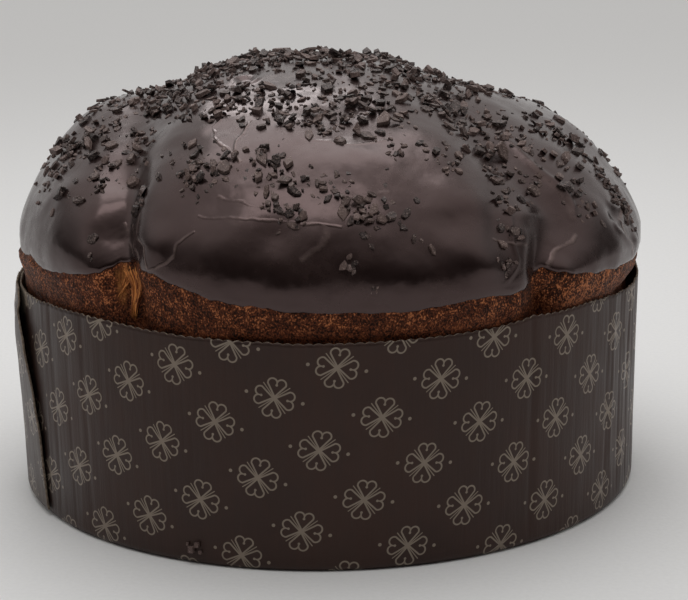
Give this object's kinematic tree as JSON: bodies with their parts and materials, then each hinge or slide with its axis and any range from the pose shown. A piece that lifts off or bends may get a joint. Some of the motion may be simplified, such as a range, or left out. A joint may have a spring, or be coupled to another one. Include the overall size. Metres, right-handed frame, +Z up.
{
  "type": "panettone",
  "caption": "Low domed panettone in a printed paper baking case, with a lobed top under dark chocolate glaze scattered with chocolate flakes.",
  "frame": {"origin": "on the floor plane, below the middle of the bounding box", "axes": "+Z up through the dome, the face shown in the picture towards -Y, its right side towards +X"},
  "size_m": [0.2125, 0.21, 0.1444],
  "materials": {
    "case_paper": "dark brown fluted baking paper with a fine taupe line print of small four-leaf clovers",
    "case_board": "plain brown board",
    "crust": "dark brown baked crust, finely pitted and matt",
    "chocolate": "dark chocolate glaze, satin to glossy, with matt broken flakes on it"
  },
  "bodies": {
    "root": {"case_wall": "case_paper", "case_base": "case_board", "bread": "crust", "glaze": "chocolate"}
  },
  "joints": []
}
